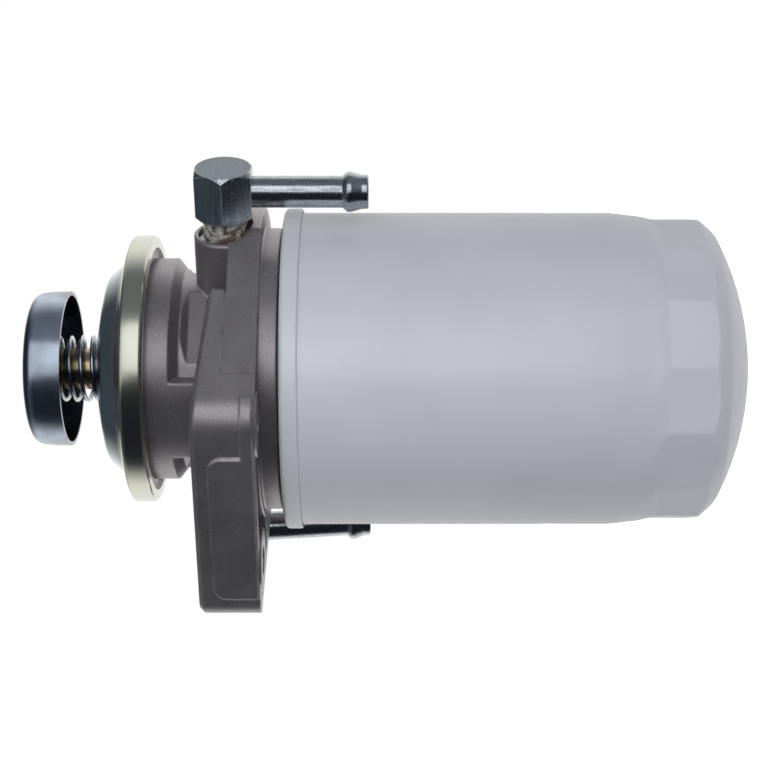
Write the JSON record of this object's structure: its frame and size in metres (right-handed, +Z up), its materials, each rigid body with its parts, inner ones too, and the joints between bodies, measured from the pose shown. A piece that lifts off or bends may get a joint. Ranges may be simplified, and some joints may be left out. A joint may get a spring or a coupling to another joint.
{
  "type": "fuel filter",
  "caption": "Spin-on fuel filter under a die-cast head with a bolting ear, two hexagon hose elbows and a domed hand priming pump.",
  "frame": {"origin": "midway between the two bolt holes of the ear, on the faced rings on its underside", "axes": "+Z up along the filter axis towards the pump knob, +X towards the inlet port, -Y out of the ear's face"},
  "size_m": [0.1292, 0.106, 0.2123],
  "materials": {
    "cast_aluminium": "blasted die casting",
    "zinc_steel": "bright zinc plated pressing",
    "turned_steel": "turned",
    "yellow_steel": "yellow chromated",
    "spring_steel": "drawn wire",
    "elbow_steel": "zinc plated",
    "washer_aluminium": "bright",
    "canister_paint": "satin pale blue grey",
    "rubber": "moulded",
    "valve_plastic": "moulded",
    "filter_paper": "resin treated pleated paper",
    "cap_steel": "tinned sheet"
  },
  "bodies": {
    "filter": {"head_casting": "cast_aluminium", "pump_cover": "zinc_steel", "rod_guide_bush": "turned_steel", "return_spring": "spring_steel", "diaphragm": "rubber", "inlet_valve_spring": "spring_steel", "inlet_valve_retainer": "turned_steel", "outlet_valve_seat": "turned_steel", "outlet_valve_spring": "spring_steel", "inlet_elbow": "elbow_steel", "inlet_hose_tail": "elbow_steel", "inlet_seal_washer": "washer_aluminium", "outlet_elbow": "elbow_steel", "outlet_hose_tail": "elbow_steel", "outlet_seal_washer": "washer_aluminium", "canister_lid": "canister_paint", "canister_shell": "canister_paint", "canister_gasket": "rubber", "canister_nipple": "turned_steel", "tapping_plate": "turned_steel", "filter_paper": "filter_paper", "element_cap_upper": "cap_steel", "element_cap_lower": "cap_steel", "centre_tube": "cap_steel", "element_grommet": "rubber", "element_spring": "spring_steel"},
    "plunger": {"plunger_knob": "zinc_steel", "plunger_rod": "yellow_steel", "diaphragm_plate_upper": "zinc_steel", "diaphragm_plate_lower": "zinc_steel", "diaphragm_nut": "zinc_steel"},
    "inlet_valve": {"inlet_valve_disc": "valve_plastic"},
    "outlet_valve": {"outlet_valve_disc": "valve_plastic"}
  },
  "joints": [
    {"name": "plunger_slide", "type": "slide", "parent": "filter", "child": "plunger", "axis": [0, 0, -1], "range_m": [0, 0.008], "stiffness_N_per_m": 800, "springref_m": -0.015, "deforming": ["return_spring", "diaphragm"]},
    {"name": "inlet_valve_lift", "type": "slide", "parent": "filter", "child": "inlet_valve", "axis": [0, 0, 1], "range_m": [0, 0.0015], "stiffness_N_per_m": 100, "springref_m": -0.002, "deforming": ["inlet_valve_spring"]},
    {"name": "outlet_valve_drop", "type": "slide", "parent": "filter", "child": "outlet_valve", "axis": [0, 0, -1], "range_m": [0, 0.0015], "stiffness_N_per_m": 100, "springref_m": -0.002, "deforming": ["outlet_valve_spring"]}
  ]
}
